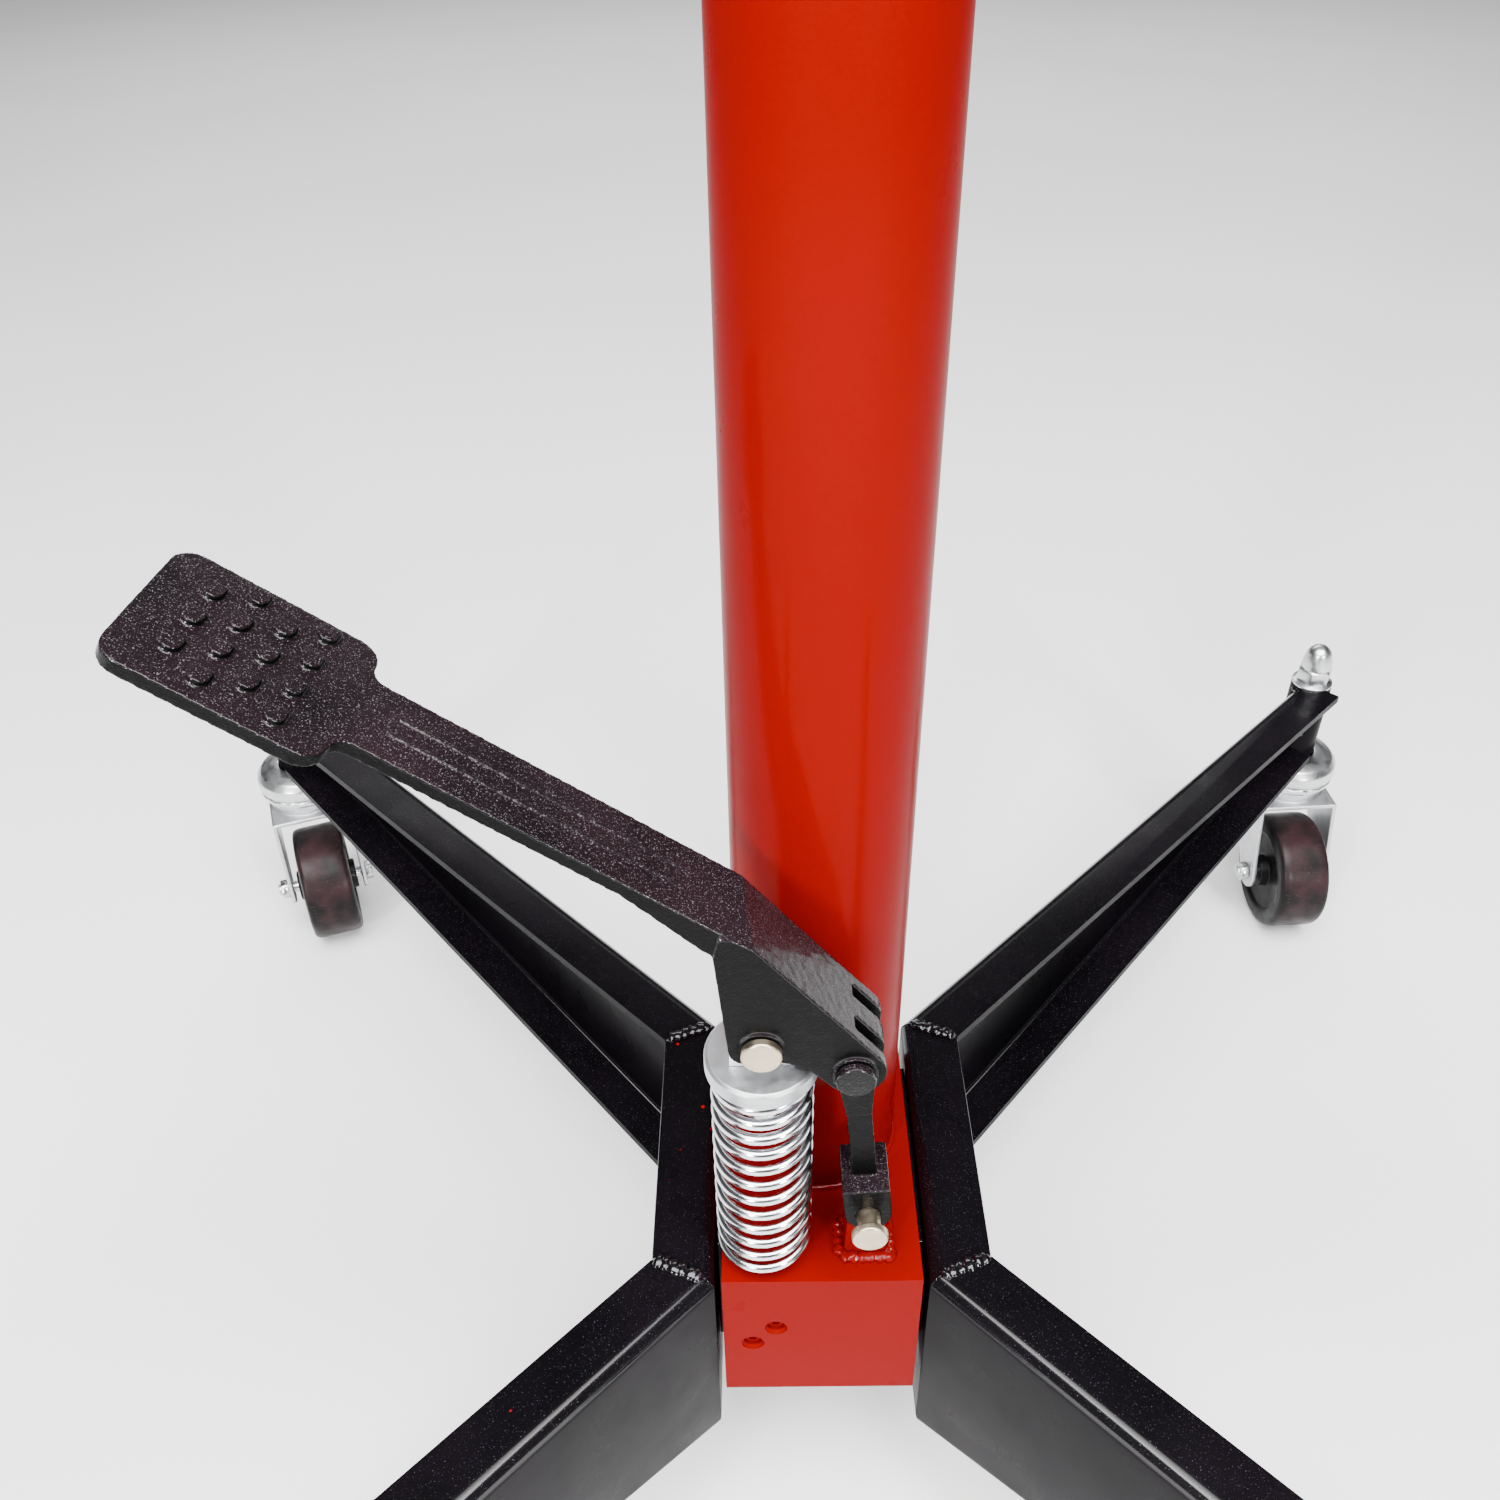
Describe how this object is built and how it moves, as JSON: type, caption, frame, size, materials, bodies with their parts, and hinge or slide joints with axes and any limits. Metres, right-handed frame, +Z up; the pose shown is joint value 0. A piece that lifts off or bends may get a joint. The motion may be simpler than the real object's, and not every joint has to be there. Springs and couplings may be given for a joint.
{
  "type": "hydraulic transmission jack",
  "caption": "Foot-operated hydraulic transmission jack: telescopic column on a pump block, splayed channel-section legs on swivel casters, foot pedal and return spring.",
  "frame": {"origin": "on the floor at the centre of the rectangle of casters, under the pump block", "axes": "+Z up along the column, -Y towards the front where the valve plugs are, -X towards the pedal's pad"},
  "size_m": [0.946, 0.9812, 1.13],
  "materials": {
    "red_paint": "gloss",
    "black_paint": "gloss",
    "cast_black": "satin",
    "zinc": "satin",
    "bright_steel": "polished",
    "tinted_zinc": "satin",
    "plain_steel": "satin",
    "rubber": "matte"
  },
  "bodies": {
    "base": {"base_block": "red_paint", "suction_plug": "red_paint", "suction_ball": "plain_steel", "delivery_plug": "red_paint", "delivery_ball": "plain_steel", "left_side_channel": "black_paint", "right_side_channel": "black_paint", "left_mount_plate": "black_paint", "right_mount_plate": "black_paint", "column_tube": "red_paint", "filler_plug": "zinc", "inner_cylinder": "plain_steel", "gland_nut": "red_paint", "wiper_seal": "rubber", "pump_barrel": "red_paint", "return_spring": "bright_steel", "link_lug": "red_paint", "front_left_leg": "black_paint", "front_left_caster_boss": "black_paint", "front_left_acorn_nut": "zinc", "front_left_caster_stem": "zinc", "front_right_leg": "black_paint", "front_right_caster_boss": "black_paint", "front_right_acorn_nut": "zinc", "front_right_caster_stem": "zinc", "rear_left_leg": "black_paint", "rear_left_caster_boss": "black_paint", "rear_left_acorn_nut": "zinc", "rear_left_caster_stem": "zinc", "rear_right_leg": "black_paint", "rear_right_caster_boss": "black_paint", "rear_right_acorn_nut": "zinc", "rear_right_caster_stem": "zinc"},
    "ram": {"ram": "bright_steel", "piston_seal": "rubber"},
    "saddle": {"saddle_post": "zinc", "saddle_plate": "black_paint"},
    "plunger": {"pump_plunger": "bright_steel", "spring_cap": "zinc"},
    "link": {"link": "cast_black", "base_pin": "tinted_zinc"},
    "pedal": {"pedal_lever": "cast_black", "plunger_pin": "tinted_zinc", "link_pin": "cast_black"},
    "release": {"release_spindle": "zinc", "release_knob": "black_paint"},
    "front_left_swivel": {"front_left_caster_fork": "zinc", "front_left_axle": "zinc"},
    "front_left_roller": {"front_left_wheel": "rubber"},
    "front_right_swivel": {"front_right_caster_fork": "zinc", "front_right_axle": "zinc"},
    "front_right_roller": {"front_right_wheel": "rubber"},
    "rear_left_swivel": {"rear_left_caster_fork": "zinc", "rear_left_axle": "zinc"},
    "rear_left_roller": {"rear_left_wheel": "rubber"},
    "rear_right_swivel": {"rear_right_caster_fork": "zinc", "rear_right_axle": "zinc"},
    "rear_right_roller": {"rear_right_wheel": "rubber"}
  },
  "joints": [
    {"name": "ram_lift", "type": "slide", "parent": "base", "child": "ram", "axis": [0, 0, 1], "range_m": [0, 0.8]},
    {"name": "saddle_swivel", "type": "hinge", "parent": "ram", "child": "saddle", "pos_m": [0, 0.0123, 1.07], "axis": [0, 0, 1], "continuous": true},
    {"name": "link_rock", "type": "hinge", "parent": "base", "child": "link", "pos_m": [0.023, -0.065, 0.2695], "axis": [0, -1, 0], "range_deg": [-1.93, 0]},
    {"name": "pedal_press", "type": "hinge", "parent": "link", "child": "pedal", "pos_m": [0.0125, -0.065, 0.3867], "axis": [0, -1, 0], "range_deg": [0, 34], "stiffness_Nm_per_rad": 8, "springref_deg": -45.84},
    {"name": "plunger_stroke", "type": "slide", "parent": "base", "child": "plunger", "axis": [0, 0, -1], "range_m": [0, 0.0249], "deforming": ["return_spring"]},
    {"name": "release_turn", "type": "hinge", "parent": "base", "child": "release", "pos_m": [0.022, 0.1, 0.165], "axis": [0, 1, 0], "range_deg": [0, 180]},
    {"name": "front_left_swivel_turn", "type": "hinge", "parent": "base", "child": "front_left_swivel", "pos_m": [-0.431, -0.453, 0.12], "axis": [0, 0, 1], "continuous": true},
    {"name": "front_left_wheel_roll", "type": "hinge", "parent": "front_left_swivel", "child": "front_left_roller", "pos_m": [-0.43332, -0.41507, 0.05], "axis": [-0.9981, -0.0611, 0], "continuous": true},
    {"name": "front_right_swivel_turn", "type": "hinge", "parent": "base", "child": "front_right_swivel", "pos_m": [0.431, -0.453, 0.12], "axis": [0, 0, 1], "continuous": true},
    {"name": "front_right_wheel_roll", "type": "hinge", "parent": "front_right_swivel", "child": "front_right_roller", "pos_m": [0.418, -0.41729, 0.05], "axis": [-0.9397, -0.342, 0], "continuous": true},
    {"name": "rear_left_swivel_turn", "type": "hinge", "parent": "base", "child": "rear_left_swivel", "pos_m": [-0.431, 0.453, 0.12], "axis": [0, 0, 1], "continuous": true},
    {"name": "rear_left_wheel_roll", "type": "hinge", "parent": "rear_left_swivel", "child": "rear_left_roller", "pos_m": [-0.418, 0.41729, 0.05], "axis": [0.9397, 0.342, 0], "continuous": true},
    {"name": "rear_right_swivel_turn", "type": "hinge", "parent": "base", "child": "rear_right_swivel", "pos_m": [0.431, 0.453, 0.12], "axis": [0, 0, 1], "continuous": true},
    {"name": "rear_right_wheel_roll", "type": "hinge", "parent": "rear_right_swivel", "child": "rear_right_roller", "pos_m": [0.43332, 0.41507, 0.05], "axis": [0.9981, 0.0611, 0], "continuous": true}
  ],
  "couplings": [
    {"joint": "link_rock", "follows": "pedal_press", "ratio": -0.0563},
    {"joint": "plunger_stroke", "follows": "pedal_press", "m_per_rad": 0.04177}
  ]
}
